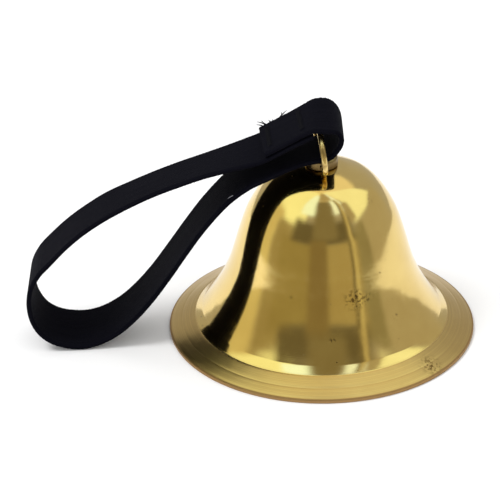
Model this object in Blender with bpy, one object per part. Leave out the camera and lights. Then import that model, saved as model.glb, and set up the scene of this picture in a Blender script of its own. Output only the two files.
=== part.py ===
"""A flared brass hand bell that stands on its rim, with a webbing hand strap.

The bell's axis is vertical and its rim rests on z = 0. A turned knob on the crown is cross-drilled for the
straight bar of a D-ring, and the strap, one length of 25 mm webbing sewn into a loop, is threaded through
the D-ring and lies over to the left (-X) until it touches the table. Inside, an eye nut on the knob's spigot
carries a link and a clapper. Near side is -Y. Lengths below are in millimetres until they reach a mesh.
"""
import math

import bmesh
import bpy
from mathutils import Matrix, Vector

MM = 0.001
GAP = 0.3

# Where the bell's axis stands, so that the middle of the whole object's footprint is at x = 0.
BELL_X = 29.25

# Bell shell: outer outline (radius, height), from the crease above the brim to the domed crown.
RIM_RADIUS = 65.0
RIM_THICKNESS = 1.6
RIM_ROUNDING = 0.4
RIM_SEAT_WIDTH = 2.0
FLARE = [(54.0, 6.5), (51.0, 9.0), (48.1, 13.0), (44.9, 18.0), (41.7, 24.0), (38.9, 31.0), (36.8, 38.0),
         (34.5, 46.0), (31.75, 54.0), (28.9, 59.6), (26.4, 63.6), (24.0, 66.7), (21.5, 69.3), (18.5, 71.5),
         (15.2, 73.1), (12.0, 74.3), (9.5, 75.0), (7.5, 75.25)]
WALL = 1.9
CROWN_Z = 75.3
BRIM_UNDERCUT = 0.6
SHELL_STEPS = 72

# Crown knob and its spigot, which passes through the crown.
KNOB_RADIUS = 6.8
KNOB_TOP = 79.8
KNOB_EDGE = 1.2
KNOB_FOOT_CHAMFER = 0.3
SPIGOT_RADIUS = 2.5
SPIGOT_END = 68.1
SPIGOT_CHAMFER = 0.5
SMALL_STEPS = 40
BORE_STEPS = 24

# D-ring: wire radius, height of its straight bar, and its outline above the bar.
WIRE = 1.2
BAR_Z = 77.5
BAR_HALF = 11.5
CORNER = 2.5
ARCH = 14.0
RING_TOP = 94.4
RING_YAW = 5.0
RING_LEAN = 5.4

# Parts below the crown.
WASHER_RADIUS = 7.0
WASHER_THICKNESS = 1.0
NUT_RADIUS = 4.6
NUT_BOTTOM = 65.8
NUT_CHAMFER = 1.2
EYE_MAJOR = 3.2
EYE_WIRE = 1.1
LINK_PIVOT_Z = 59.9
LINK_HALF = 2.3
LINK_WIRE = 0.8
CLAPPER_PIVOT_Z = 54.4
CLAPPER_EYE = 2.4
ROD_RADIUS = 1.2
COLLAR_RADIUS = 2.4
COLLAR_THICKNESS = 0.8
COLLAR_SLOPE = 1.2
BALL_RADIUS = 10.0
BALL_Z = 13.2
PEEN_THICKNESS = 0.9
PEEN_CHAMFER = 0.4

# Strap: webbing size, and its middle line as (x from the bell's axis, y, z, tilt in degrees, width).
# It starts at the outer cut end, goes over the D-ring, turns down through it, runs out along the table
# and comes back above itself to the inner cut end.
WEB_THICKNESS = 2.0
WEB = 25.4
GATHERED = 22.0
STRAP_ROUTE = [
    (-24.0, -1.7, 87.0, 3, WEB), (-14.0, -1.0, 92.1, 3, WEB), (-6.0, -0.4, 96.2, 4, WEB),
    (-1.5, -0.1, 97.5, 8, WEB), (2.7, 0.0, 97.3, 8, WEB), (6.0, 0.0, 95.6, 4, 24.5),
    (7.6, 0.0, 92.6, 0, 23.5), (7.6, 0.0, 89.2, -2, 22.5), (6.0, 0.0, 86.0, -1, GATHERED),
    (3.2, 0.0, 83.8, 3, GATHERED), (-1.0, 0.0, 82.5, 3, GATHERED), (-8.0, -0.5, 81.2, 2, GATHERED),
    (-15.0, -1.0, 79.5, 4, 23.5), (-22.5, -1.6, 76.8, 5, WEB), (-30.0, -2.1, 73.2, 5, WEB),
    (-36.8, -2.6, 68.4, 5, WEB), (-42.9, -3.0, 62.4, 5, WEB), (-49.8, -3.5, 54.2, 6, WEB),
    (-56.7, -4.0, 44.6, 7, WEB), (-63.7, -4.5, 34.3, 8, WEB), (-70.7, -5.0, 24.5, 8, WEB),
    (-77.7, -5.5, 16.2, 8, WEB), (-84.7, -6.0, 9.7, 8, WEB), (-91.7, -6.5, 5.4, 8, WEB),
    (-98.5, -7.0, 3.2, 8, WEB), (-105.0, -7.4, 3.0, 8, WEB), (-112.0, -7.9, 4.8, 7, WEB),
    (-117.8, -8.2, 8.9, 6, WEB), (-121.3, -8.4, 15.2, 6, WEB), (-122.5, -8.4, 22.6, 4, WEB),
    (-121.4, -8.4, 30.1, 4, WEB), (-118.1, -8.2, 36.5, 4, WEB), (-113.2, -8.0, 42.0, 4, WEB),
    (-106.4, -7.5, 48.7, 2, WEB), (-98.7, -7.0, 54.9, 0, WEB), (-89.2, -6.3, 61.0, -1, WEB),
    (-79.0, -5.6, 66.0, -3, WEB), (-69.0, -4.9, 70.3, -4, WEB), (-59.1, -4.2, 73.9, -4, WEB),
    (-49.2, -3.5, 77.1, -4, WEB), (-39.3, -2.8, 79.9, -2, WEB), (-31.0, -2.2, 82.2, 1, WEB),
    (-24.0, -1.7, 84.5, 3, WEB), (-14.0, -1.0, 89.6, 3, WEB), (-4.8, -0.3, 94.2, 4, WEB)]
STEPS_BETWEEN = 3

# Bar tacks that sew the strap's two ends together: where each crosses the overlap, and its size.
TACK_X = [-20.5, -9.0]
TACK_OUT = 8.8
TACK_POST = 1.2
TACK_THREAD = 0.8
TACK_ROW = 1.8
LAYER_GAP = 0.66
END_STATIONS = 12

BRASS = ((0.78, 0.56, 0.20), 1.0, 0.16)
AGED_BRASS = ((0.55, 0.42, 0.18), 1.0, 0.3)
STEEL = ((0.45, 0.45, 0.46), 1.0, 0.4)
WEBBING = ((0.012, 0.012, 0.018), 0.0, 0.85)
THREAD = ((0.02, 0.02, 0.03), 0.0, 0.7)


def clear_scene():
    for item in list(bpy.data.objects):
        bpy.data.objects.remove(item, do_unlink=True)


def material(name, look):
    colour, metallic, roughness = look
    made = bpy.data.materials.new(name)
    made.use_nodes = True
    shader = made.node_tree.nodes["Principled BSDF"]
    shader.inputs["Base Color"].default_value = (*colour, 1.0)
    shader.inputs["Metallic"].default_value = metallic
    shader.inputs["Roughness"].default_value = roughness
    made.diffuse_color = (*colour, 1.0)
    return made


def add_object(name, data, look, parent, location=(0, 0, 0), rotation=(0, 0, 0)):
    """Put mesh or curve data in the scene; location is in millimetres from the parent's origin."""
    made = bpy.data.objects.new(name, data)
    bpy.context.scene.collection.objects.link(made)
    made.parent = parent
    made.location = Vector(location) * MM
    made.rotation_euler = rotation
    data.materials.append(material(name, look))
    return made


def mesh_from(bm, name):
    bmesh.ops.recalc_face_normals(bm, faces=bm.faces)
    data = bpy.data.meshes.new(name)
    bm.to_mesh(data)
    bm.free()
    return data


def turned(name, outline, steps, closed=False, base_z=0.0):
    """Spin an outline of (radius, height) about the Z axis; a closed outline leaves the axis hollow."""
    bm = bmesh.new()
    points = [bm.verts.new(Vector((r, 0, z - base_z)) * MM) for r, z in outline]
    pairs = list(zip(points, points[1:]))
    if closed:
        pairs.append((points[-1], points[0]))
    edges = [bm.edges.new(pair) for pair in pairs]
    bmesh.ops.spin(bm, geom=points + edges, cent=(0, 0, 0), axis=(0, 0, 1), angle=2 * math.pi, steps=steps)
    bmesh.ops.remove_doubles(bm, verts=bm.verts, dist=1e-6)
    return mesh_from(bm, name)


def wire_curve(name, points, radius, cyclic=True, resolution=3):
    """Round wire along straight pieces between the points."""
    data = bpy.data.curves.new(name, "CURVE")
    data.dimensions = "3D"
    data.bevel_depth = radius * MM
    data.bevel_resolution = resolution
    data.use_fill_caps = not cyclic
    spline = data.splines.new("POLY")
    spline.points.add(len(points) - 1)
    for slot, point in zip(spline.points, points):
        slot.co = (*(Vector(point) * MM), 1.0)
    spline.use_cyclic_u = cyclic
    return data


def arc(centre, radius, start, end, steps):
    """Points (across, up) on an arc, angles in degrees from +across towards +up."""
    angles = [math.radians(start + (end - start) * i / steps) for i in range(steps + 1)]
    return [(centre[0] + radius * math.cos(a), centre[1] + radius * math.sin(a)) for a in angles]


def combine(host, name, data, operation, location=(0, 0, 0), rotation=(0, 0, 0)):
    """Cut a closed shape out of the host, or fuse it to the host, with an exact Boolean."""
    tool = bpy.data.objects.new(name, data)
    bpy.context.scene.collection.objects.link(tool)
    tool.parent = host
    tool.location = Vector(location) * MM
    tool.rotation_euler = rotation
    bpy.context.view_layer.update()
    step = host.modifiers.new(name, "BOOLEAN")
    step.operation = operation
    step.solver = "EXACT"
    step.object = tool
    bpy.context.view_layer.objects.active = host
    bpy.ops.object.modifier_apply(modifier=step.name)
    bpy.data.objects.remove(tool, do_unlink=True)


def rod_data(name, radius, length, steps):
    bm = bmesh.new()
    bmesh.ops.create_cone(bm, cap_ends=True, segments=steps, radius1=radius * MM, radius2=radius * MM,
                          depth=length * MM)
    return mesh_from(bm, name)


def box_bm(size, centre=(0, 0, 0)):
    bm = bmesh.new()
    bmesh.ops.create_cube(bm, size=1.0)
    bmesh.ops.scale(bm, vec=Vector(size) * MM, verts=bm.verts)
    bmesh.ops.translate(bm, vec=Vector(centre) * MM, verts=bm.verts)
    return bm


# ---------------------------------------------------------------- bell

def inward(outline, wall):
    """The outline moved inwards by the wall's thickness, square to its own run."""
    moved = []
    for i, (r, z) in enumerate(outline):
        before = outline[max(i - 1, 0)]
        after = outline[min(i + 1, len(outline) - 1)]
        run = Vector((after[0] - before[0], after[1] - before[1])).normalized()
        moved.append((r - run.y * wall, z + run.x * wall))
    return moved


def bell_shell(parent):
    rim = [(RIM_RADIUS - RIM_ROUNDING, 0.0), (RIM_RADIUS, RIM_ROUNDING),
           (RIM_RADIUS, RIM_THICKNESS - RIM_ROUNDING), (RIM_RADIUS - RIM_ROUNDING, RIM_THICKNESS)]
    hole = SPIGOT_RADIUS + GAP
    outer = rim + FLARE + [(hole, CROWN_Z)]
    inside = inward(FLARE[1:], WALL)
    seat = (RIM_RADIUS - RIM_ROUNDING - RIM_SEAT_WIDTH, 0.0)
    under_crease = (FLARE[0][0] - BRIM_UNDERCUT, FLARE[0][1] - WALL)
    inner = [seat, under_crease] + inside + [(hole, CROWN_Z - WALL - GAP)]
    data = turned("bell_shell", outer + inner[::-1], SHELL_STEPS, closed=True)
    return add_object("bell_shell", data, BRASS, parent)


def crown_knob(parent):
    """Turned knob with a spigot below, drilled across at the height of the D-ring's bar."""
    seat = CROWN_Z + GAP
    edge = arc((KNOB_RADIUS - KNOB_EDGE, KNOB_TOP - KNOB_EDGE), KNOB_EDGE, 0, 90, 4)
    spigot = [(0, SPIGOT_END), (SPIGOT_RADIUS - SPIGOT_CHAMFER, SPIGOT_END),
              (SPIGOT_RADIUS, SPIGOT_END + SPIGOT_CHAMFER), (SPIGOT_RADIUS, seat)]
    foot = [(KNOB_RADIUS - KNOB_FOOT_CHAMFER, seat), (KNOB_RADIUS, seat + KNOB_FOOT_CHAMFER)]
    outline = spigot + foot + edge + [(0, KNOB_TOP)]
    data = turned("crown_knob", outline, SMALL_STEPS, base_z=BAR_Z)
    knob = add_object("crown_knob", data, BRASS, parent, (0, 0, BAR_Z), (0, 0, math.radians(RING_YAW)))
    bore = rod_data("knob_bore", WIRE + GAP, 3 * KNOB_RADIUS, BORE_STEPS)
    combine(knob, "knob_bore", bore, "DIFFERENCE", rotation=(math.radians(90), 0, 0))
    return knob


def hanger_ring(parent):
    """D-ring of round wire in its own Y-Z plane, with its origin on the bar's axis."""
    arch_z = RING_TOP - BAR_Z - ARCH
    right = arc((BAR_HALF, CORNER), CORNER, -90, 0, 6) + arc((0, arch_z), ARCH, 0, 90, 14)
    left = [(-across, up) for across, up in right[:-1]]
    outline = right + left[::-1]
    middle = [(-BAR_HALF * 0.5, 0), (0, 0), (BAR_HALF * 0.5, 0)]
    points = [(0, across, up) for across, up in outline + middle]
    data = wire_curve("hanger_ring", points, WIRE)
    turn = (0, -math.radians(RING_LEAN), math.radians(RING_YAW))
    return add_object("hanger_ring", data, AGED_BRASS, parent, (0, 0, BAR_Z), turn)


def inner_washer(parent):
    top = CROWN_Z - WALL - 2 * GAP
    hole = SPIGOT_RADIUS + GAP
    low = top - WASHER_THICKNESS
    outline = [(hole, low), (WASHER_RADIUS, low), (WASHER_RADIUS, top), (hole, top)]
    data = turned("inner_washer", outline, SMALL_STEPS, closed=True)
    return add_object("inner_washer", data, AGED_BRASS, parent)


def eye_nut(parent):
    """Round nut on the spigot with an eye cast below it; the eye's plane is X-Z."""
    top = CROWN_Z - WALL - 2 * GAP - WASHER_THICKNESS - GAP
    hole = SPIGOT_RADIUS + GAP
    bore_end = SPIGOT_END - GAP
    foot = [(0, NUT_BOTTOM), (NUT_RADIUS - NUT_CHAMFER, NUT_BOTTOM), (NUT_RADIUS, NUT_BOTTOM + NUT_CHAMFER)]
    outline = foot + [(NUT_RADIUS, top), (hole, top), (hole, bore_end), (0, bore_end)]
    nut = add_object("eye_nut", turned("eye_nut", outline, SMALL_STEPS), AGED_BRASS, parent)
    eye_z = LINK_PIVOT_Z + EYE_MAJOR
    eye = torus_data("eye", EYE_MAJOR, EYE_WIRE, 28, 10)
    combine(nut, "eye", eye, "UNION", (0, 0, eye_z), (math.radians(90), 0, 0))
    return nut


def torus_data(name, major, minor, around, section):
    """Ring of round wire in the X-Y plane."""
    bm = bmesh.new()
    circle = bmesh.ops.create_circle(bm, segments=section, radius=minor * MM)["verts"]
    bmesh.ops.rotate(bm, verts=circle, cent=(0, 0, 0), matrix=Matrix.Rotation(math.radians(90), 3, "X"))
    bmesh.ops.translate(bm, verts=circle, vec=(major * MM, 0, 0))
    bmesh.ops.spin(bm, geom=circle + bm.edges[:], cent=(0, 0, 0), axis=(0, 0, 1), angle=2 * math.pi,
                   steps=around)
    bmesh.ops.remove_doubles(bm, verts=bm.verts, dist=1e-6)
    return mesh_from(bm, name)


# ---------------------------------------------------------------- clapper

def clapper_link(parent):
    """Oval link in the Y-Z plane, hung on the eye's lower wire; origin on that pivot."""
    low = CLAPPER_PIVOT_Z + LINK_HALF - LINK_PIVOT_Z
    outline = arc((0, 0), LINK_HALF, 0, 180, 10) + arc((0, low), LINK_HALF, 180, 360, 10)
    data = wire_curve("clapper_link", [(0, across, up) for across, up in outline], LINK_WIRE, resolution=2)
    return add_object("clapper_link", data, STEEL, parent, (0, 0, LINK_PIVOT_Z))


def clapper_rod(parent):
    """Eye and rod of the clapper, with a collar above the ball and a peened head below it."""
    bottom = BALL_Z - BALL_RADIUS - GAP - PEEN_THICKNESS
    ball_top = BALL_Z + BALL_RADIUS + GAP
    neck = CLAPPER_PIVOT_Z - CLAPPER_EYE
    collar_top = ball_top + COLLAR_THICKNESS
    peen = [(0, bottom), (COLLAR_RADIUS - PEEN_CHAMFER, bottom), (COLLAR_RADIUS, bottom + PEEN_CHAMFER),
            (COLLAR_RADIUS, bottom + PEEN_THICKNESS), (ROD_RADIUS, bottom + PEEN_THICKNESS)]
    collar = [(ROD_RADIUS, ball_top), (COLLAR_RADIUS, ball_top), (COLLAR_RADIUS, collar_top),
              (ROD_RADIUS, collar_top + COLLAR_SLOPE)]
    outline = peen + collar + [(ROD_RADIUS, neck), (0, neck)]
    data = turned("clapper_rod", outline, 20, base_z=CLAPPER_PIVOT_Z)
    rod = add_object("clapper_rod", data, STEEL, parent, (0, 0, CLAPPER_PIVOT_Z))
    eye = torus_data("rod_eye", CLAPPER_EYE, LINK_WIRE, 24, 10)
    combine(rod, "rod_eye", eye, "UNION", rotation=(math.radians(90), 0, 0))
    return rod


def clapper_ball(parent):
    bore = ROD_RADIUS + GAP
    reach = math.degrees(math.acos(bore / BALL_RADIUS))
    outline = arc((0, BALL_Z), BALL_RADIUS, -reach, reach, 14)
    data = turned("clapper_ball", outline, 32, closed=True, base_z=CLAPPER_PIVOT_Z)
    return add_object("clapper_ball", data, AGED_BRASS, parent, (0, 0, CLAPPER_PIVOT_Z))


# ---------------------------------------------------------------- strap

def smooth(rows, steps):
    """Catmull-Rom curve through rows of numbers, with the given steps between neighbours."""
    out = []
    last = len(rows) - 1
    for i in range(last):
        a, b, c, d = (Vector(rows[max(i - 1, 0)]), Vector(rows[i]), Vector(rows[i + 1]),
                      Vector(rows[min(i + 2, last)]))
        for step in range(steps):
            t = step / steps
            out.append(0.5 * (2 * b + (c - a) * t + (2 * a - 5 * b + 4 * c - d) * t ** 2
                              + (3 * b - a - 3 * c + d) * t ** 3))
    out.append(Vector(rows[last]))
    return out


def strap_frames():
    """Middle point, run, width direction, outward direction and width at each station of the strap."""
    rows = smooth(STRAP_ROUTE, STEPS_BETWEEN)
    points = [Vector(row[:3]) for row in rows]
    frames = []
    for i, (point, row) in enumerate(zip(points, rows)):
        run = (points[min(i + 1, len(points) - 1)] - points[max(i - 1, 0)]).normalized()
        tilt = math.radians(row[3])
        across = Vector((0, math.cos(tilt), math.sin(tilt)))
        across = (across - run * across.dot(run)).normalized()
        frames.append((point, run, across, run.cross(across), row[4]))
    return frames


def strap_webbing(parent, hinge, frames, tacks):
    bm = bmesh.new()
    loops = []
    for point, run, across, outward, width in frames:
        half = across * (width / 2)
        thick = outward * (WEB_THICKNESS / 2)
        corners = [point - half - thick, point + half - thick, point + half + thick, point - half + thick]
        loops.append([bm.verts.new((corner - hinge) * MM) for corner in corners])
    for one, two in zip(loops, loops[1:]):
        for k in range(4):
            bm.faces.new((one[k], one[(k + 1) % 4], two[(k + 1) % 4], two[k]))
    bm.faces.new(loops[0][::-1])
    bm.faces.new(loops[-1])
    webbing = add_object("strap_webbing", mesh_from(bm, "strap_webbing"), WEBBING, parent, hinge)
    for tack in tacks:
        for side in (-1, 1):
            middle = side * (TACK_OUT - TACK_POST / 2)
            slot = box_bm((TACK_ROW + 2 * GAP, TACK_POST + 2 * GAP, 4 * WEB_THICKNESS), (0, middle, 0))
            slot.transform(local_matrix(tack, hinge))
            combine(webbing, "slot", mesh_from(slot, "slot"), "DIFFERENCE")
    return webbing


def tack_frame(frames, x):
    """Middle of the two overlapping layers where a bar tack crosses them, with its directions."""
    outer = min(frames[:END_STATIONS], key=lambda frame: abs(frame[0].x - x))
    inner = min(frames[-END_STATIONS:], key=lambda frame: abs(frame[0].x - x))
    point, run, across, outward, _ = outer
    middle = point - outward * ((point - inner[0]).dot(outward) / 2)
    return middle, run, across, outward


def local_matrix(frame, hinge):
    point, run, across, outward = frame
    turn = Matrix((run, across, outward)).transposed().to_4x4()
    return Matrix.Translation((point - hinge) * MM) @ turn


def strap_tack(parent, hinge, number, tack):
    """One bar tack: a flat loop of thread through both layers of webbing."""
    inner_half = WEB_THICKNESS + LAYER_GAP / 2 + GAP
    outer_half = inner_half + TACK_THREAD
    bm = bmesh.new()
    sides = []
    for x_side in (-TACK_ROW / 2, TACK_ROW / 2):
        rings = []
        for y_half, z_half in ((TACK_OUT, outer_half), (TACK_OUT - TACK_POST, inner_half)):
            signs = ((-1, -1), (1, -1), (1, 1), (-1, 1))
            rings.append([bm.verts.new(Vector((x_side, a * y_half, b * z_half)) * MM) for a, b in signs])
        sides.append(rings)
    for k in range(4):
        n = (k + 1) % 4
        for rings in sides:
            bm.faces.new((rings[0][k], rings[0][n], rings[1][n], rings[1][k]))
        for ring in range(2):
            low, high = sides[0][ring], sides[1][ring]
            bm.faces.new((low[k], low[n], high[n], high[k]))
    bm.transform(local_matrix(tack, hinge))
    name = f"strap_tack_{number}"
    return add_object(name, mesh_from(bm, name), THREAD, parent, hinge)


def ring_top():
    """Where the strap bears on the D-ring: the middle of its arch, after the ring's lean and yaw."""
    turn = Matrix.Rotation(math.radians(RING_YAW), 3, "Z") @ Matrix.Rotation(-math.radians(RING_LEAN), 3, "Y")
    return Vector((0, 0, BAR_Z)) + turn @ Vector((0, 0, RING_TOP - BAR_Z))


def main():
    clear_scene()
    axis = bpy.data.objects.new("bell_axis", None)
    bpy.context.scene.collection.objects.link(axis)
    axis.location = (BELL_X * MM, 0, 0)
    bell_shell(axis)
    crown_knob(axis)
    hanger_ring(axis)
    inner_washer(axis)
    eye_nut(axis)
    clapper_link(axis)
    clapper_rod(axis)
    clapper_ball(axis)
    hinge = ring_top()
    frames = strap_frames()
    tacks = [tack_frame(frames, x) for x in TACK_X]
    strap_webbing(axis, hinge, frames, tacks)
    for number, tack in enumerate(tacks, 1):
        strap_tack(axis, hinge, number, tack)
    bpy.context.view_layer.update()


main()
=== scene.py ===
"""Looks of a flared brass hand bell with a black webbing strap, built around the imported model.

Lengths are in millimetres until they reach a mesh. The bell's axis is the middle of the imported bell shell,
and the strap's route and the D-ring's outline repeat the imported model's own numbers.
"""
import math
import random

import bmesh
import bpy
from mathutils import Matrix, Vector, noise

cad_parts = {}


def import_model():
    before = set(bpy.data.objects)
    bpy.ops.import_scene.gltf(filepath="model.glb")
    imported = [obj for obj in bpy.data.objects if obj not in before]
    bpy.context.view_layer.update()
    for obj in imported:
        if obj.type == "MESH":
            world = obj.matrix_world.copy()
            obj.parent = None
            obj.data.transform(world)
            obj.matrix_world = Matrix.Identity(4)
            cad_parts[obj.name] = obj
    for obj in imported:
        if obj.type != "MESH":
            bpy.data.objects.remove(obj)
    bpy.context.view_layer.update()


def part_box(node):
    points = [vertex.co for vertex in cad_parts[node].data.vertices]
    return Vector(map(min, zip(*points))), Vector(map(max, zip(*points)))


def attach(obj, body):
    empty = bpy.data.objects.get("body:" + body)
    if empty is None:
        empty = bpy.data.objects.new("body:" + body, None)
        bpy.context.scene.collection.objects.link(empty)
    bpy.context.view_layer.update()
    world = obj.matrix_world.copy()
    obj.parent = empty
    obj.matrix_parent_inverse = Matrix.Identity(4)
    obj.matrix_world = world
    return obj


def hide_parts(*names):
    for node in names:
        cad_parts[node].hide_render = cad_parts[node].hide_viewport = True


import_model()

MM = 0.001
SHELL_LOW, SHELL_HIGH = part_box("bell_shell")
BELL_X = (SHELL_LOW.x + SHELL_HIGH.x) / 2 / MM
RIM = (SHELL_HIGH.x - SHELL_LOW.x) / 2 / MM
AXIS = Vector((BELL_X, 0, 0))

# Bell profile above the crease, and the turned lines on the brim.
FLARE = [(54.0, 6.5), (51.0, 9.0), (48.1, 13.0), (44.9, 18.0), (41.7, 24.0), (38.9, 31.0), (36.8, 38.0),
         (34.5, 46.0), (31.75, 54.0), (28.9, 59.6), (26.4, 63.6), (24.0, 66.7), (21.5, 69.3), (18.5, 71.5),
         (15.2, 73.1), (12.0, 74.3), (9.5, 75.0), (7.5, 75.25)]
LIP_TOP = 1.6
LIP_ROUND = 0.4
SEAT = 2.0
WALL = 1.9
CROWN_Z = 75.3
BRIM_LINE = 59.6
SPIGOT_HOLE = 2.8
AROUND = 288

# Knob, D-ring and the parts below the crown.
KNOB_RADIUS, KNOB_SEAT, KNOB_TOP, KNOB_EDGE = 6.8, 75.6, 79.8, 1.2
SPIGOT_RADIUS, SPIGOT_END = 2.5, 68.1
WIRE, BAR_Z, BAR_HALF, CORNER, ARCH, RING_TOP = 1.2, 77.5, 11.5, 2.5, 14.0, 94.4
BORE = 1.5
RING_YAW, RING_LEAN = math.radians(5.0), math.radians(5.4)
WASHER_RADIUS, WASHER_LOW, WASHER_TOP = 7.0, 71.8, 72.8
NUT_RADIUS, NUT_BOTTOM, NUT_TOP, NUT_BORE_END = 4.6, 65.8, 71.5, 67.8
EYE_MAJOR, EYE_WIRE = 3.2, 1.1
LINK_PIVOT_Z, LINK_HALF, LINK_WIRE = 59.9, 2.3, 0.8
CLAPPER_PIVOT_Z, CLAPPER_EYE = 54.4, 2.4
ROD_RADIUS, COLLAR_RADIUS = 1.2, 2.4
BALL_RADIUS, BALL_Z = 10.0, 13.2

# Strap: webbing size and middle line as (x from the bell's axis, y, z, tilt in degrees, width).
THICK = 2.0
WEB = 25.4
GATHERED = 22.0
STRAP_ROUTE = [
    (-24.0, -1.7, 87.0, 3, WEB), (-14.0, -1.0, 92.1, 3, WEB), (-6.0, -0.4, 96.2, 4, WEB),
    (-1.5, -0.1, 97.5, 8, WEB), (2.7, 0.0, 97.3, 8, WEB), (6.0, 0.0, 95.6, 4, 24.5),
    (7.6, 0.0, 92.6, 0, 23.5), (7.6, 0.0, 89.2, -2, 22.5), (6.0, 0.0, 86.0, -1, GATHERED),
    (3.2, 0.0, 83.8, 3, GATHERED), (-1.0, 0.0, 82.5, 3, GATHERED), (-8.0, -0.5, 81.2, 2, GATHERED),
    (-15.0, -1.0, 79.5, 4, 23.5), (-22.5, -1.6, 76.8, 5, WEB), (-30.0, -2.1, 73.2, 5, WEB),
    (-36.8, -2.6, 68.4, 5, WEB), (-42.9, -3.0, 62.4, 5, WEB), (-49.8, -3.5, 54.2, 6, WEB),
    (-56.7, -4.0, 44.6, 7, WEB), (-63.7, -4.5, 34.3, 8, WEB), (-70.7, -5.0, 24.5, 8, WEB),
    (-77.7, -5.5, 16.2, 8, WEB), (-84.7, -6.0, 9.7, 8, WEB), (-91.7, -6.5, 5.4, 8, WEB),
    (-98.5, -7.0, 3.2, 8, WEB), (-105.0, -7.4, 3.0, 8, WEB), (-112.0, -7.9, 4.8, 7, WEB),
    (-117.8, -8.2, 8.9, 6, WEB), (-121.3, -8.4, 15.2, 6, WEB), (-122.5, -8.4, 22.6, 4, WEB),
    (-121.4, -8.4, 30.1, 4, WEB), (-118.1, -8.2, 36.5, 4, WEB), (-113.2, -8.0, 42.0, 4, WEB),
    (-106.4, -7.5, 48.7, 2, WEB), (-98.7, -7.0, 54.9, 0, WEB), (-89.2, -6.3, 61.0, -1, WEB),
    (-79.0, -5.6, 66.0, -3, WEB), (-69.0, -4.9, 70.3, -4, WEB), (-59.1, -4.2, 73.9, -4, WEB),
    (-49.2, -3.5, 77.1, -4, WEB), (-39.3, -2.8, 79.9, -2, WEB), (-31.0, -2.2, 82.2, 1, WEB),
    (-24.0, -1.7, 84.5, 3, WEB), (-14.0, -1.0, 89.6, 3, WEB), (-4.8, -0.3, 94.2, 4, WEB)]
STATIONS_BETWEEN = 19
FLAT_POINTS = 61
EDGE_POINTS = 5
CORD_PITCH = 1.27
PICK_PITCH = 2.4
SCALLOP_PITCH = 2.9
TACK_X = [-20.5, -9.0]
TACK_OUT = 8.8
TACK_ROW = 1.8
STACK_HALF = THICK + 0.33
THREAD_RADIUS = 0.16

# Frayed ends as (x from the bell's axis, number of threads, lean along x, longest thread).
FRAYS = [(-21.2, 5, -1.5, 4.6), (-19.0, 4, 0.2, 2.2), (-16.4, 5, 0.9, 4.8)]
FRAY_RADIUS = 0.36
FRAY_STEPS = (-0.1, 0.15, 0.4, 0.65, 0.85, 1.0)
LOOSE_THREAD_X = -37.5

# Tarnish on the shell as (place in the bell's own frame, radius).
TARNISH = [((12.0, -35.5, 31.6), 6.5), ((17.0, -33.0, 31.0), 4.0), ((-13.3, -35.0, 32.5), 1.6),
           ((19.6, -15.5, 66.4), 1.8), ((43.5, -42.0, 3.0), 7.0), ((-27.0, -22.0, 40.0), 3.5),
           ((30.0, -32.0, 21.0), 2.0), ((3.0, -45.5, 17.6), 2.2)]

# Softly lit room round the bell, as reflections see it: base colour, then panels as
# (azimuth, elevation, half width, half height, soft edge, colour), in degrees.
# Azimuth 0 is the viewer's side and + is right.
ROOM_SIZE, ROOM_FOOT, ROOM_ROWS, ROOM_STEPS = 700.0, 0.0, 120, 360
ROOM_BASE = (0.50, 0.49, 0.47)
ROOM = [
    (180, 84, 180, 14, 10, (1.00, 0.90, 0.62)), (142, 68, 26, 12, 10, (1.05, 1.00, 0.82)),
    (-74, 59, 38, 25, 10, (1.23, 1.34, 1.02)), (-88, 16, 10, 18, 12, (0.80, 0.74, 0.46)),
    (-56, 12, 12, 16, 12, (0.42, 0.37, 0.22)), (86, 62, 27, 28, 7, (1.22, 1.34, 1.15)),
    (92, 12, 30, 14, 10, (0.52, 0.49, 0.42)), (55, 10, 9, 16, 8, (0.34, 0.32, 0.23)),
    (37, 66, 11, 17, 6, (1.22, 1.50, 1.90)), (54, 45, 4, 9, 7, (0.50, 0.46, 0.36)),
    (-27, 65, 14, 15, 8, (1.23, 1.60, 2.00)), (-32, 8, 22, 12, 12, (0.38, 0.33, 0.17)),
    (20, 8, 22, 11, 12, (0.48, 0.42, 0.25)), (0, 31, 42, 5, 12, (0.17, 0.15, 0.10)),
    (4, 49, 13, 17, 13, (0.27, 0.24, 0.16)), (12, 82, 20, 8, 13, (0.52, 0.46, 0.32)),
    (-6, 10, 7, 14, 10, (0.28, 0.23, 0.13)), (39, 34, 1, 34, 3, (0.22, 0.19, 0.12)),
    (43, 34, 1, 34, 3, (0.66, 0.60, 0.38)),
]
WORLD_LIGHT = 0.9
KEY_PLACE, KEY_AIM, KEY_SIZE, KEY_POWER = (-0.9, -0.3, 1.5), (0, 0, 0.03), 0.7, 14.0

# Camera: point it looks at, from the foot of the bell's axis, then its height angle, distance and roll.
CAMERA_AIM = Vector((-30.08, 0, 35.90))
CAMERA_UP = math.radians(28.39)
CAMERA_AWAY = 0.9
CAMERA_ROLL = math.radians(-0.984)
LENS, SENSOR = 153.73, 36.0


# ---------------------------------------------------------------- mesh helpers

def put(name, bm_or_mesh, body, node, material, smooth=True, angle=None):
    """Link a mesh whose origin is on the bell's axis, make it ride on a body and stand for a CAD node."""
    if isinstance(bm_or_mesh, bmesh.types.BMesh):
        data = bpy.data.meshes.new(name)
        bm_or_mesh.to_mesh(data)
        bm_or_mesh.free()
    else:
        data = bm_or_mesh
    made = bpy.data.objects.new(name, data)
    bpy.context.scene.collection.objects.link(made)
    made.location = AXIS * MM
    for one in material if isinstance(material, list) else [material]:
        data.materials.append(one)
    if smooth:
        data.shade_smooth()
    if angle is not None:
        data.set_sharp_from_angle(angle=math.radians(angle))
    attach(made, body)
    if node is not None:
        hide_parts(node)
    return made


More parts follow.
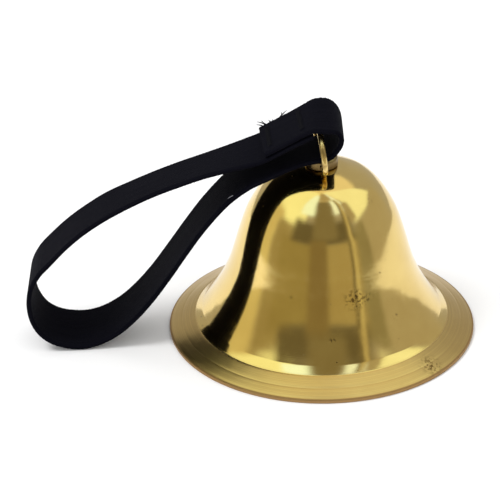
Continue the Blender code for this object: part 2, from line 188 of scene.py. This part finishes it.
def lathe(outline, steps, closed=False):
    """Turn an outline of (radius, height) about the axis; a closed outline leaves the axis hollow."""
    bm = bmesh.new()
    points = [bm.verts.new((r * MM, 0, z * MM)) for r, z in outline]
    pairs = list(zip(points, points[1:]))
    if closed:
        pairs.append((points[-1], points[0]))
    edges = [bm.edges.new(pair) for pair in pairs]
    bmesh.ops.spin(bm, geom=points + edges, cent=(0, 0, 0), axis=(0, 0, 1), angle=2 * math.pi, steps=steps)
    bmesh.ops.remove_doubles(bm, verts=bm.verts, dist=1e-7)
    bmesh.ops.recalc_face_normals(bm, faces=bm.faces)
    return bm


def arc(centre, radius, start, end, steps):
    """Points (across, up) on an arc, angles in degrees from +across towards +up."""
    angles = [math.radians(start + (end - start) * i / steps) for i in range(steps + 1)]
    return [(centre[0] + radius * math.cos(a), centre[1] + radius * math.sin(a)) for a in angles]


def spline(rows, steps):
    """Catmull-Rom curve through rows of numbers, with the given steps between neighbours."""
    out = []
    last = len(rows) - 1
    for i in range(last):
        a, b, c, d = (Vector(rows[max(i - 1, 0)]), Vector(rows[i]), Vector(rows[i + 1]),
                      Vector(rows[min(i + 2, last)]))
        for step in range(steps):
            t = step / steps
            out.append(0.5 * (2 * b + (c - a) * t + (2 * a - 5 * b + 4 * c - d) * t ** 2
                              + (3 * b - a - 3 * c + d) * t ** 3))
    out.append(Vector(rows[last]))
    return out


def tube(bm, points, radius, sides=12, closed=False, taper=None):
    """Round tube along points, added to bm; its section is carried along without twist."""
    points = [Vector(p) for p in points]
    count = len(points)
    side = None
    rings = []
    for i, point in enumerate(points):
        before = points[(i - 1) % count] if closed else points[max(i - 1, 0)]
        after = points[(i + 1) % count] if closed else points[min(i + 1, count - 1)]
        run = (after - before).normalized()
        if side is None:
            side = run.orthogonal().normalized()
        side = (side - run * side.dot(run)).normalized()
        other = run.cross(side)
        size = radius * (taper(i / (count - 1)) if taper else 1.0)
        ring = []
        for k in range(sides):
            turn = 2 * math.pi * k / sides
            away = side * size * math.cos(turn) + other * size * math.sin(turn)
            ring.append(bm.verts.new((point + away) * MM))
        rings.append(ring)
    if closed:
        first, last = rings[0], rings[-1]
        shift = min(range(sides), key=lambda k: (last[0].co - first[k].co).length)
        rings.append(first[shift:] + first[:shift])
    for one, two in zip(rings, rings[1:]):
        for k in range(sides):
            n = (k + 1) % sides
            bm.faces.new((one[k], one[n], two[n], two[k]))
    if not closed:
        bm.faces.new(rings[0][::-1])
        bm.faces.new(rings[-1])
    return bm


def combine(bm, tool, operation):
    """Exact Boolean of two closed meshes; returns the resulting mesh."""
    objects = []
    for name, part in (("host", bm), ("tool", tool)):
        bmesh.ops.recalc_face_normals(part, faces=part.faces)
        data = bpy.data.meshes.new(name)
        part.to_mesh(data)
        part.free()
        made = bpy.data.objects.new(name, data)
        bpy.context.scene.collection.objects.link(made)
        objects.append(made)
    host, second = objects
    step = host.modifiers.new("step", "BOOLEAN")
    step.operation = operation
    step.solver = "EXACT"
    step.object = second
    bpy.context.view_layer.update()
    done = bpy.data.meshes.new_from_object(host.evaluated_get(bpy.context.evaluated_depsgraph_get()))
    for made in objects:
        bpy.data.objects.remove(made, do_unlink=True)
    return done


# ---------------------------------------------------------------- materials

class Shader:
    """A Principled material and short ways to add nodes to it."""

    def __init__(self, name, **values):
        self.material = bpy.data.materials.new(name)
        self.material.use_nodes = True
        self.tree = self.material.node_tree
        self.main = self.tree.nodes["Principled BSDF"]
        for key, value in values.items():
            self.main.inputs[key.replace("_", " ")].default_value = value
        place = self.tree.nodes.new("ShaderNodeTexCoord").outputs["Object"]
        self.place = self.vector("MULTIPLY", place, (1000, 1000, 1000))

    def node(self, kind, inputs, output=0, **settings):
        made = self.tree.nodes.new(kind)
        for key, value in settings.items():
            setattr(made, key, value)
        for key, value in inputs.items():
            socket = made.inputs[key]
            if isinstance(value, bpy.types.NodeSocket):
                self.tree.links.new(value, socket)
            else:
                socket.default_value = value
        return made.outputs[output]

    def math(self, operation, a, b=0.0, clamp=False):
        return self.node("ShaderNodeMath", {0: a, 1: b}, operation=operation, use_clamp=clamp)

    def vector(self, operation, a, b, output=0):
        return self.node("ShaderNodeVectorMath", {0: a, 1: b}, output, operation=operation)

    def noise(self, place, scale, detail=3.0, rough=0.55):
        return self.node("ShaderNodeTexNoise", {"Vector": place, "Scale": scale, "Detail": detail,
                                                "Roughness": rough})

    def ramp(self, value, low, high, to_low=0.0, to_high=1.0):
        return self.node("ShaderNodeMapRange", {"Value": value, "From Min": low, "From Max": high,
                                                "To Min": to_low, "To Max": to_high},
                         interpolation_type="SMOOTHSTEP")

    def mix(self, share, a, b):
        made = self.tree.nodes.new("ShaderNodeMix")
        made.data_type = "RGBA"
        for socket, value in ((made.inputs[0], share), (made.inputs[6], a), (made.inputs[7], b)):
            if isinstance(value, bpy.types.NodeSocket):
                self.tree.links.new(value, socket)
            elif isinstance(value, tuple):
                socket.default_value = (*value, 1.0)
            else:
                socket.default_value = value
        return made.outputs[2]

    def near(self, point, size):
        """1 at a point in the material's own place, falling to 0 at the given distance."""
        away = self.vector("DISTANCE", self.place, point, "Value")
        return self.ramp(away, 0.0, size, 1.0, 0.0)

    def polar(self):
        """Radius and height in millimetres, and a unit direction round the axis."""
        parts = self.tree.nodes.new("ShaderNodeSeparateXYZ")
        self.tree.links.new(self.place, parts.inputs[0])
        flat = self.vector("MULTIPLY", self.place, (1, 1, 0))
        radius = self.vector("LENGTH", flat, (0, 0, 0), "Value")
        around = self.vector("NORMALIZE", flat, (0, 0, 0))
        return radius, parts.outputs[2], around

    def bump(self, height, distance, strength=1.0, under=None):
        inputs = {"Height": height, "Distance": distance * MM, "Strength": strength}
        if under is not None:
            inputs["Normal"] = under
        return self.node("ShaderNodeBump", inputs)

    def set(self, key, value):
        self.tree.links.new(value, self.main.inputs[key])


def turned_brass(name, light, dark, roughness, marks, lip=False, specks=True):
    """Polished, lathe-turned brass: fine rings, slow colour change, small tarnish specks."""
    s = Shader(name, Metallic=1.0)
    radius, height, around = s.polar()
    rings_at = s.node("ShaderNodeCombineXYZ", {"X": s.math("MULTIPLY", radius, 3.2),
                                               "Y": s.math("MULTIPLY", height, 3.2), "Z": 0.0})
    rings_at = s.vector("ADD", rings_at, s.vector("MULTIPLY", around, (0.35, 0.35, 0.35)))
    rings = s.noise(rings_at, 1.0, 4.0, 0.7)
    cloud = s.noise(s.place, 0.045, 3.0)
    stain = s.noise(s.place, 0.22, 5.0, 0.7)
    colour = s.mix(s.ramp(cloud, 0.35, 0.7), light, dark)
    colour = s.mix(s.ramp(stain, 0.6, 0.8, 0.0, 0.35), colour, dark)
    rough = s.math("ADD", s.ramp(rings, 0.3, 0.75, roughness * 0.8, roughness * 1.35),
                   s.ramp(stain, 0.5, 0.8, 0.0, 0.08))
    if specks:
        cells = s.node("ShaderNodeTexVoronoi", {"Vector": s.place, "Scale": 0.16}, "Distance")
        pick = s.noise(s.place, 0.09, 1.0)
        spot = s.math("MULTIPLY", s.ramp(cells, 0.035, 0.06, 1.0, 0.0), s.ramp(pick, 0.5, 0.56))
        colour = s.mix(spot, colour, (0.10, 0.06, 0.02))
        rough = s.math("ADD", rough, s.math("MULTIPLY", spot, 0.35))
    if lip:
        edge = s.ramp(radius, RIM - 0.9, RIM - 0.5)
        colour = s.mix(edge, colour, (0.34, 0.19, 0.09))
        rough = s.math("ADD", rough, s.math("MULTIPLY", edge, 0.2))
        brim = s.ramp(radius, 53.2, 54.6)
        tone = s.ramp(rings, 0.3, 0.7, 0.35, 0.75)
        colour = s.mix(s.math("MULTIPLY", brim, tone), colour, (0.46, 0.30, 0.12))
        rough = s.math("ADD", rough, s.math("MULTIPLY", brim, 0.2))
        for point, size in TARNISH:
            near = s.near(point, size)
            dust = s.ramp(s.noise(s.place, 0.8, 3.0, 0.6), 0.5, 0.56)
            colour = s.mix(s.math("MULTIPLY", near, dust), colour, (0.13, 0.07, 0.02))
    s.set("Base Color", colour)
    s.set("Roughness", rough)
    normal = s.bump(rings, marks)
    normal = s.bump(s.noise(s.place, 0.06, 2.0), 0.12, under=normal)
    s.set("Normal", normal)
    return s.material


def wire_metal(name, light, dark, roughness):
    """Drawn wire or a plain fitting: duller metal with dark tarnish in patches and worn bright spots."""
    s = Shader(name, Metallic=1.0)
    patch = s.noise(s.place, 0.35, 4.0, 0.6)
    fine = s.noise(s.place, 2.4, 3.0)
    colour = s.mix(s.ramp(patch, 0.4, 0.66), light, dark)
    s.set("Base Color", colour)
    s.set("Roughness", s.math("ADD", s.ramp(patch, 0.35, 0.7, roughness, roughness + 0.18),
                              s.ramp(fine, 0.3, 0.7, 0.0, 0.06)))
    s.set("Normal", s.bump(fine, 0.02))
    return s.material


def webbing_cloth():
    """Near-black nylon webbing, streaked by the band's own distances along and across it."""
    s = Shader("webbing", Metallic=0.0, Specular_IOR_Level=0.02, Sheen_Weight=0.02, Sheen_Roughness=0.4)
    s.main.inputs["Sheen Tint"].default_value = (0.55, 0.55, 0.75, 1.0)
    along = s.node("ShaderNodeAttribute", {}, "Fac", attribute_name="along")
    across = s.node("ShaderNodeAttribute", {}, "Fac", attribute_name="across")
    streak_at = s.node("ShaderNodeCombineXYZ", {"X": s.math("MULTIPLY", along, 0.05),
                                                "Y": s.math("MULTIPLY", across, 1.1), "Z": 0.0})
    streak = s.noise(streak_at, 1.0, 4.0, 0.6)
    fibre_at = s.node("ShaderNodeCombineXYZ", {"X": s.math("MULTIPLY", along, 0.8),
                                               "Y": s.math("MULTIPLY", across, 6.0), "Z": 0.0})
    fibre = s.noise(fibre_at, 1.0, 3.0, 0.6)
    colour = s.mix(s.ramp(streak, 0.35, 0.7), (0.0026, 0.0026, 0.0052), (0.0040, 0.0039, 0.0070))
    colour = s.mix(s.ramp(fibre, 0.55, 0.8, 0.0, 0.5), colour, (0.0062, 0.0062, 0.0105))
    s.set("Base Color", colour)
    s.set("Roughness", s.ramp(fibre, 0.3, 0.7, 0.62, 0.86))
    s.set("Normal", s.bump(fibre, 0.12))
    return s.material


def thread_cloth(name, colour):
    """Twisted sewing thread."""
    s = Shader(name, Metallic=0.0, Specular_IOR_Level=0.04, Sheen_Weight=0.03)
    twist = s.noise(s.place, 3.5, 3.0)
    lighter = tuple(c * 1.5 for c in colour)
    s.set("Base Color", s.mix(s.ramp(twist, 0.4, 0.7), colour, lighter))
    s.set("Roughness", s.ramp(twist, 0.3, 0.7, 0.5, 0.8))
    s.set("Normal", s.bump(twist, 0.05))
    return s.material


# ---------------------------------------------------------------- bell

def outer_profile():
    """Outline from the flat seat round the lip, over the brim's turned lines and the crease to the crown."""
    slope = (FLARE[0][1] - LIP_TOP) / (RIM - LIP_ROUND - FLARE[0][0])

    def brim(r, drop=0.0):
        return (r, LIP_TOP + (RIM - LIP_ROUND - r) * slope - drop)

    lip = arc((RIM - LIP_ROUND, LIP_ROUND), LIP_ROUND, -90, 0, 5)
    lip += arc((RIM - LIP_ROUND, LIP_TOP - LIP_ROUND), LIP_ROUND, 0, 90, 5)
    brim_points = [brim(RIM - 0.9, 0.05), brim(RIM - 1.2), brim(62.5), brim(61.0), brim(BRIM_LINE + 0.4),
                   brim(BRIM_LINE + 0.15, 0.03), brim(BRIM_LINE, 0.05), brim(BRIM_LINE - 0.15, 0.03),
                   brim(BRIM_LINE - 0.4), brim(58.0), brim(56.5), brim(55.2), brim(54.5), brim(54.2, 0.05),
                   brim(54.0, 0.1), (53.75, 6.62), (53.4, 6.95)]
    flare = [tuple(p) for p in spline(FLARE[1:], 6)]
    crown = [(6.5, CROWN_Z), (SPIGOT_HOLE + 0.3, CROWN_Z), (SPIGOT_HOLE, CROWN_Z - 0.3)]
    return lip, brim_points + flare + crown


def inner_profile():
    """Outline from the hole in the crown down the inside of the wall to the seat."""
    moved = []
    for i in range(1, len(FLARE)):
        before = FLARE[i - 1]
        after = FLARE[min(i + 1, len(FLARE) - 1)]
        run = Vector((after[0] - before[0], after[1] - before[1])).normalized()
        moved.append((FLARE[i][0] - run.y * WALL, FLARE[i][1] + run.x * WALL))
    inside = [tuple(p) for p in spline(moved, 4)][::-1]
    top = [(SPIGOT_HOLE, CROWN_Z - WALL - 0.3), (6.0, CROWN_Z - WALL - 0.2)]
    return top + inside + [(FLARE[0][0] - 0.6, FLARE[0][1] - WALL), (58.0, 2.9), (RIM - SEAT - 1.0, 0.25),
                           (RIM - LIP_ROUND - SEAT, 0.0)]


def bell_body(outside, inside):
    """Turned shell, polished outside and dull inside."""
    lip, above = outer_profile()
    bm = lathe(lip + above + inner_profile(), AROUND, closed=True)
    made = put("bell_turned_shell", bm, "bell", "bell_shell", [outside, inside], angle=50)
    for face in made.data.polygons:
        middle = face.center
        outward = Vector((middle.x, middle.y, 0.0)).dot(Vector((face.normal.x, face.normal.y, 0.0)))
        under = face.normal.z < -0.2 or (outward < 0 and middle.z < CROWN_Z * MM)
        face.material_index = 1 if under and middle.xy.length < (RIM - 1.2) * MM else 0
    return made


def knob(material):
    """Turned knob with its spigot, cross-drilled for the ring."""
    edge = arc((KNOB_RADIUS - KNOB_EDGE, KNOB_TOP - KNOB_EDGE), KNOB_EDGE, 0, 90, 10)
    outline = [(0, SPIGOT_END), (SPIGOT_RADIUS - 0.5, SPIGOT_END), (SPIGOT_RADIUS, SPIGOT_END + 0.5),
               (SPIGOT_RADIUS, KNOB_SEAT), (KNOB_RADIUS - 0.3, KNOB_SEAT), (KNOB_RADIUS, KNOB_SEAT + 0.3),
               (KNOB_RADIUS, 76.6), (KNOB_RADIUS, 77.8)] + edge
    outline += [(4.2, KNOB_TOP), (4.0, KNOB_TOP - 0.12), (3.8, KNOB_TOP), (0, KNOB_TOP)]
    bore = bmesh.new()
    yaw = Matrix.Rotation(RING_YAW, 4, "Z")
    tube(bore, [Vector((0, 0, BAR_Z)) + yaw @ Vector((0, y, 0)) for y in (-12, -6, 0, 6, 12)], BORE, 40)
    data = combine(lathe(outline, 96), bore, "DIFFERENCE")
    return put("crown_knob_turned", data, "bell", "crown_knob", material, angle=35)


def d_ring(material):
    """Bent wire ring: straight bar through the knob, rounded corners, straight legs and a full arch."""
    arch_z = RING_TOP - BAR_Z - ARCH
    right = arc((BAR_HALF, CORNER), CORNER, -90, 0, 12) + arc((0, arch_z), ARCH, 0, 90, 28)
    left = [(-across, up) for across, up in right[:-1]]
    bar = [(-BAR_HALF * 0.75, 0), (-BAR_HALF * 0.4, 0), (0, 0), (BAR_HALF * 0.4, 0), (BAR_HALF * 0.75, 0)]
    turn = Matrix.Rotation(RING_YAW, 4, "Z") @ Matrix.Rotation(-RING_LEAN, 4, "Y")
    points = [turn @ Vector((0, across, up)) + Vector((0, 0, BAR_Z))
              for across, up in right + left[::-1] + bar]
    bm = tube(bmesh.new(), points, WIRE, 28, closed=True)
    return put("d_ring_wire", bm, "ring", "hanger_ring", material)


def under_crown(dull, steel, ball_metal):
    """Washer, eye nut, link and clapper."""
    washer = [(SPIGOT_HOLE, WASHER_LOW), (WASHER_RADIUS - 0.2, WASHER_LOW), (WASHER_RADIUS, WASHER_LOW + 0.2),
              (WASHER_RADIUS, WASHER_TOP - 0.2), (WASHER_RADIUS - 0.2, WASHER_TOP), (SPIGOT_HOLE, WASHER_TOP)]
    put("washer_turned", lathe(washer, 96, closed=True), "bell", "inner_washer", dull, angle=35)

    nut = [(0, NUT_BOTTOM), (NUT_RADIUS - 1.2, NUT_BOTTOM), (NUT_RADIUS - 0.4, NUT_BOTTOM + 0.5),
           (NUT_RADIUS, NUT_BOTTOM + 1.2), (NUT_RADIUS, NUT_TOP - 0.3), (NUT_RADIUS - 0.3, NUT_TOP),
           (SPIGOT_HOLE, NUT_TOP), (SPIGOT_HOLE, NUT_BORE_END), (0, NUT_BORE_END)]
    eye = bmesh.new()
    middle = LINK_PIVOT_Z + EYE_MAJOR
    tube(eye, [(x, 0, z) for x, z in arc((0, middle), EYE_MAJOR, 0, 360, 56)[:-1]], EYE_WIRE, 20, closed=True)
    put("eye_nut_cast", combine(lathe(nut, 72), eye, "UNION"), "bell", "eye_nut", dull, angle=40)

    low = CLAPPER_PIVOT_Z + LINK_HALF
    oval = arc((0, LINK_PIVOT_Z), LINK_HALF, 0, 180, 20) + arc((0, low), LINK_HALF, 180, 360, 20)
    link = tube(bmesh.new(), [(0, y, z) for y, z in oval], LINK_WIRE, 18, closed=True)
    put("clapper_link_wire", link, "link", "clapper_link", steel)

    bottom = BALL_Z - BALL_RADIUS - 1.2
    ball_top = BALL_Z + BALL_RADIUS + 0.3
    neck = CLAPPER_PIVOT_Z - CLAPPER_EYE
    rod = [(0, bottom), (1.3, bottom + 0.05), (2.1, bottom + 0.25), (COLLAR_RADIUS, bottom + 0.55),
           (COLLAR_RADIUS, bottom + 0.9), (ROD_RADIUS, bottom + 0.9), (ROD_RADIUS, ball_top),
           (COLLAR_RADIUS, ball_top), (COLLAR_RADIUS, ball_top + 0.8), (1.7, ball_top + 1.2),
           (ROD_RADIUS, ball_top + 2.0), (ROD_RADIUS, neck - 2), (ROD_RADIUS, neck), (0, neck)]
    loop = bmesh.new()
    tube(loop, [(x, 0, z) for x, z in arc((0, CLAPPER_PIVOT_Z), CLAPPER_EYE, 0, 360, 48)[:-1]], LINK_WIRE, 18,
         closed=True)
    forged = combine(lathe(rod, 48), loop, "UNION")
    put("clapper_rod_forged", forged, "clapper", "clapper_rod", steel, angle=40)

    bore = ROD_RADIUS + 0.3
    reach = math.degrees(math.acos(bore / BALL_RADIUS))
    ball = lathe(arc((0, BALL_Z), BALL_RADIUS, -reach, reach, 48), 96, closed=True)
    put("clapper_ball_turned", ball, "clapper", "clapper_ball", ball_metal, angle=40)


# ---------------------------------------------------------------- strap

def strap_frames(steps):
    """Middle point, run, width direction, outward direction and width at each station of the strap."""
    rows = spline(STRAP_ROUTE, steps)
    points = [Vector(row[:3]) for row in rows]
    frames = []
    for i, (point, row) in enumerate(zip(points, rows)):
        run = (points[min(i + 1, len(points) - 1)] - points[max(i - 1, 0)]).normalized()
        tilt = math.radians(row[3])
        across = Vector((0, math.cos(tilt), math.sin(tilt)))
        across = (across - run * across.dot(run)).normalized()
        frames.append((point, run, across, run.cross(across), row[4]))
    return frames


def section(width):
    """Outline of the webbing's section as (across, out, face share): flat faces and round selvages."""
    flat = width / 2 - THICK / 2
    span = [-flat + 2 * flat * k / (FLAT_POINTS - 1) for k in range(FLAT_POINTS)]
    points = [(across, THICK / 2, 1.0) for across in span]
    for k in range(1, EDGE_POINTS + 1):
        turn = math.pi / 2 - math.pi * k / (EDGE_POINTS + 1)
        points.append((flat + THICK / 2 * math.cos(turn), THICK / 2 * math.sin(turn), 0.0))
    points += [(across, -THICK / 2, -1.0) for across in reversed(span)]
    for k in range(1, EDGE_POINTS + 1):
        turn = -math.pi / 2 - math.pi * k / (EDGE_POINTS + 1)
        points.append((-flat + THICK / 2 * math.cos(turn), THICK / 2 * math.sin(turn), 0.0))
    return points


def weave(along, across, face):
    """Height of the cords above the webbing's middle surface."""
    cord = across / CORD_PITCH
    number = math.floor(cord)
    crown = math.sqrt(abs(math.sin(math.pi * cord)))
    pick = math.cos(2 * math.pi * (along / PICK_PITCH + 0.5 * (number % 2)) + face)
    return 0.13 * crown * (0.72 + 0.28 * pick) - 0.07


def strap_band(material):
    """The whole length of woven webbing, with wavy selvages and ragged cut ends."""
    frames = strap_frames(STATIONS_BETWEEN)
    bm = bmesh.new()
    rings, marks = [], []
    along = 0.0
    last_point = frames[0][0]
    end = len(frames) - 1
    for i, (point, run, across, outward, width) in enumerate(frames):
        along += (point - last_point).length
        last_point = point
        ring = []
        for side, out, face in section(width):
            if face:
                lift = weave(along, side, face)
                spot = point + across * side + outward * (out + math.copysign(lift, face))
            else:
                swell = 0.3 * math.cos(2 * math.pi * along / SCALLOP_PITCH + (side > 0) * 1.7)
                swell += 0.1 * math.cos(2 * math.pi * along / (SCALLOP_PITCH * 0.41))
                reach = math.copysign(max(swell, -0.3), side)
                spot = point + across * (side + reach) + outward * out * 0.94
            if i in (0, end):
                ragged = 0.55 * noise.noise(Vector((side * 0.9, out, 3.1 * i)))
                spot = spot + run * (ragged - 0.25 if i == 0 else ragged + 0.1)
            ring.append(bm.verts.new(spot * MM))
            marks.append((along, side))
        rings.append(ring)
    count = len(rings[0])
    for one, two in zip(rings, rings[1:]):
        for k in range(count):
            n = (k + 1) % count
            bm.faces.new((one[k], one[n], two[n], two[k]))
    bm.faces.new(rings[0][::-1])
    bm.faces.new(rings[-1])
    bmesh.ops.recalc_face_normals(bm, faces=bm.faces)
    data = bpy.data.meshes.new("strap_woven_band")
    bm.to_mesh(data)
    bm.free()
    for index, name in enumerate(("along", "across")):
        values = data.attributes.new(name, "FLOAT", "POINT")
        values.data.foreach_set("value", [mark[index] for mark in marks])
    return put("strap_woven_band", data, "strap", "strap_webbing", material)


def tack_place(x):
    """Middle of the two overlapping layers where a bar tack crosses them, with its directions."""
    frames = strap_frames(3)
    outer = min(frames[:12], key=lambda one: abs(one[0].x - x))
    inner = min(frames[-12:], key=lambda one: abs(one[0].x - x))
    point, run, across, outward, _ = outer
    return point - outward * ((point - inner[0]).dot(outward) / 2), run, across, outward


def bar_tack(number, x, material):
    """Zigzag of thread over the top of both layers and back underneath, as one loop of thread."""
    middle, run, across, outward = tack_place(x)
    turns = 30
    path = []
    for face in (1, -1):
        for k in range(turns + 1):
            side = face * (TACK_OUT * (2 * k / turns - 1))
            row = TACK_ROW / 2 * (1 if k % 2 else -1)
            lift = STACK_HALF + THREAD_RADIUS * 0.7
            path.append(middle + across * side + run * row + outward * lift * face)
    bm = tube(bmesh.new(), path, THREAD_RADIUS, 8, closed=True)
    return put(f"strap_stitching_{number}", bm, "strap", f"strap_tack_{number}", material)


def frayed_ends(material):
    """Loose thread ends at the strap's cut end, along its far selvage."""
    rng = random.Random(11)
    frames = strap_frames(6)
    bm = bmesh.new()
    for x, count, lean, length in FRAYS:
        near = min(frames[:30], key=lambda one: abs(one[0].x - x))
        point, run, across, outward, width = near
        for k in range(count):
            root = point + across * (width / 2 - 0.5) + run * rng.uniform(-1.1, 1.1)
            root = root + Vector((x - point.x, 0, 0)) * 0.5
            aim = Vector((lean + rng.uniform(-0.7, 0.7), 0.35 + rng.uniform(-0.2, 0.3), 0.9)).normalized()
            curl = Vector((rng.uniform(-0.5, 0.5), rng.uniform(-0.2, 0.2), rng.uniform(-0.5, 0.1)))
            size = length * rng.uniform(0.5, 1.0)
            path = [root + aim * size * t + curl * size * t * t * 0.5 for t in FRAY_STEPS]
            tube(bm, path, FRAY_RADIUS, 6, taper=lambda t: 1.0 - 0.7 * t)
    return put("strap_frayed_ends", bm, "strap", None, material)


def loose_thread(material):
    """One end of thread on the lower leg's near selvage, where the two legs part; its pale colour is a
    painted glint.
    """
    near = min(strap_frames(6)[60:120], key=lambda one: abs(one[0].x - LOOSE_THREAD_X))
    point, run, across, outward, width = near
    root = point - across * (width / 2 - 1.6) - outward * (THICK / 2 + 0.15)
    path = [root + run * d + across * 0.4 * d for d in (-1.3, -0.6, 0.0, 0.7, 1.4)]
    bm = tube(bmesh.new(), path, THREAD_RADIUS, 6, taper=lambda t: 1.0 - 0.5 * t)
    return put("strap_loose_thread", bm, "strap", None, material)


# ---------------------------------------------------------------- stage

def stage_mesh(name, bm, material, reflected_only=False):
    """Mesh of the surroundings, which is no part of the object."""
    data = bpy.data.meshes.new(name)
    bm.to_mesh(data)
    bm.free()
    data.materials.append(material)
    made = bpy.data.objects.new(name, data)
    bpy.context.scene.collection.objects.link(made)
    if reflected_only:
        made.visible_camera = False
        made.visible_diffuse = False
        made.visible_shadow = False
        made.visible_transmission = False
    return made


def floor():
    s = Shader("floor_paper", Roughness=0.9, Specular_IOR_Level=0.0)
    s.main.inputs["Base Color"].default_value = (0.93, 0.93, 0.93, 1.0)
    bm = bmesh.new()
    bmesh.ops.create_grid(bm, x_segments=2, y_segments=2, size=4.0)
    return stage_mesh("floor", bm, s.material)


def soft_share(value, middle, half, soft):
    """1 inside middle +- half, falling smoothly to 0 over the soft distance outside it."""
    edge = min(max(1 - (abs(value - middle) - half) / soft, 0.0), 1.0)
    return edge * edge * (3 - 2 * edge)


def room_colour(azimuth, elevation):
    """Colour of the softly lit room in one direction: panels laid over each other in order."""
    colour = Vector(ROOM_BASE)
    for middle, height, half_width, half_height, soft, panel in ROOM:
        turned = (azimuth - middle + 180) % 360 - 180
        sideways = soft_share(turned, 0, half_width, soft)
        upright = soft_share(elevation, height, half_height, soft * 0.7)
        colour = colour.lerp(Vector(panel), sideways * upright)
    return colour


def room():
    """A dome that only reflections see, coloured by its panels."""
    bm = bmesh.new()
    tones = []
    rows = []
    for j in range(ROOM_ROWS + 1):
        elevation = ROOM_FOOT + (90 - ROOM_FOOT) * j / ROOM_ROWS
        row = []
        for i in range(ROOM_STEPS):
            azimuth = 360 * i / ROOM_STEPS - 180
            a, e = math.radians(azimuth), math.radians(elevation)
            spot = Vector((math.sin(a) * math.cos(e), -math.cos(a) * math.cos(e), math.sin(e))) * ROOM_SIZE
            row.append(bm.verts.new((spot + AXIS) * MM))
            tones.append(room_colour(azimuth, elevation))
        rows.append(row)
    for one, two in zip(rows, rows[1:]):
        for i in range(ROOM_STEPS):
            n = (i + 1) % ROOM_STEPS
            bm.faces.new((one[i], one[n], two[n], two[i]))
    material = bpy.data.materials.new("room")
    material.use_nodes = True
    tree = material.node_tree
    tree.nodes.clear()
    out = tree.nodes.new("ShaderNodeOutputMaterial")
    glow = tree.nodes.new("ShaderNodeEmission")
    tone = tree.nodes.new("ShaderNodeAttribute")
    tone.attribute_name = "tone"
    tree.links.new(tone.outputs["Color"], glow.inputs["Color"])
    tree.links.new(glow.outputs[0], out.inputs[0])
    made = stage_mesh("room", bm, material, reflected_only=True)
    values = made.data.attributes.new("tone", "FLOAT_COLOR", "POINT")
    values.data.foreach_set("color", [part for tone in tones for part in (*tone, 1.0)])
    return made


def light(name, place, aim, size, power):
    """Round soft light that reflections don't show."""
    data = bpy.data.lights.new(name, "AREA")
    data.shape = "DISK"
    data.size = size
    data.energy = power
    made = bpy.data.objects.new(name, data)
    bpy.context.scene.collection.objects.link(made)
    made.location = place
    made.rotation_euler = (Vector(aim) - Vector(place)).to_track_quat("-Z", "Y").to_euler()
    made.visible_glossy = False
    return made


def world():
    made = bpy.data.worlds.new("studio")
    made.use_nodes = True
    back = made.node_tree.nodes["Background"]
    back.inputs["Color"].default_value = (1.0, 1.0, 1.0, 1.0)
    back.inputs["Strength"].default_value = WORLD_LIGHT
    bpy.context.scene.world = made


def camera():
    """Long lens, a little above the bell, looking along +Y."""
    data = bpy.data.cameras.new("camera")
    data.lens = LENS
    data.sensor_width = SENSOR
    data.clip_start = 0.01
    data.clip_end = 20.0
    made = bpy.data.objects.new("camera", data)
    bpy.context.scene.collection.objects.link(made)
    aim = (AXIS + CAMERA_AIM) * MM
    made.location = aim + Vector((0, -math.cos(CAMERA_UP), math.sin(CAMERA_UP))) * CAMERA_AWAY
    turn = (aim - made.location).to_track_quat("-Z", "Y").to_matrix().to_4x4()
    made.rotation_euler = (turn @ Matrix.Rotation(CAMERA_ROLL, 4, "Z")).to_euler()
    bpy.context.scene.camera = made


def studio():
    floor()
    world()
    light("key", KEY_PLACE, KEY_AIM, KEY_SIZE, KEY_POWER)
    room()


def main():
    polished = turned_brass("brass_polished", (0.80, 0.60, 0.22), (0.74, 0.54, 0.19), 0.10, 0.006, lip=True)
    inside = turned_brass("brass_inside", (0.52, 0.38, 0.17), (0.30, 0.20, 0.09), 0.38, 0.05, specks=False)
    # The knob uses the bell's brass in a much darker colour: painted shade, standing for the knob lying in
    # the strap's shade.
    knob_brass_painted_shade = turned_brass("brass_knob_painted_shade", (0.30, 0.22, 0.10), (0.20, 0.14, 0.06), 0.3, 0.01)
    ring_brass = wire_metal("brass_wire", (0.83, 0.62, 0.24), (0.42, 0.29, 0.11), 0.2)
    dull = wire_metal("brass_dull", (0.55, 0.41, 0.19), (0.25, 0.17, 0.08), 0.34)
    steel = wire_metal("steel_dull", (0.42, 0.41, 0.40), (0.16, 0.13, 0.10), 0.36)
    ball_brass = turned_brass("brass_ball", (0.60, 0.45, 0.20), (0.36, 0.25, 0.11), 0.28, 0.03)
    bell_body(polished, inside)
    knob(knob_brass_painted_shade)
    d_ring(ring_brass)
    under_crown(dull, steel, ball_brass)
    strap_band(webbing_cloth())
    black_thread = thread_cloth("thread_black", (0.0034, 0.0034, 0.0064))
    for number, x in enumerate(TACK_X, 1):
        bar_tack(number, x, black_thread)
    frayed_ends(thread_cloth("thread_frayed", (0.006, 0.006, 0.009)))
    # The loose thread's pale colour is a painted glint on a thread end.
    loose_thread(thread_cloth("thread_pale_painted_glint", (0.30, 0.30, 0.32)))
    studio()
    camera()
    bpy.context.scene.view_settings.view_transform = "Standard"


main()
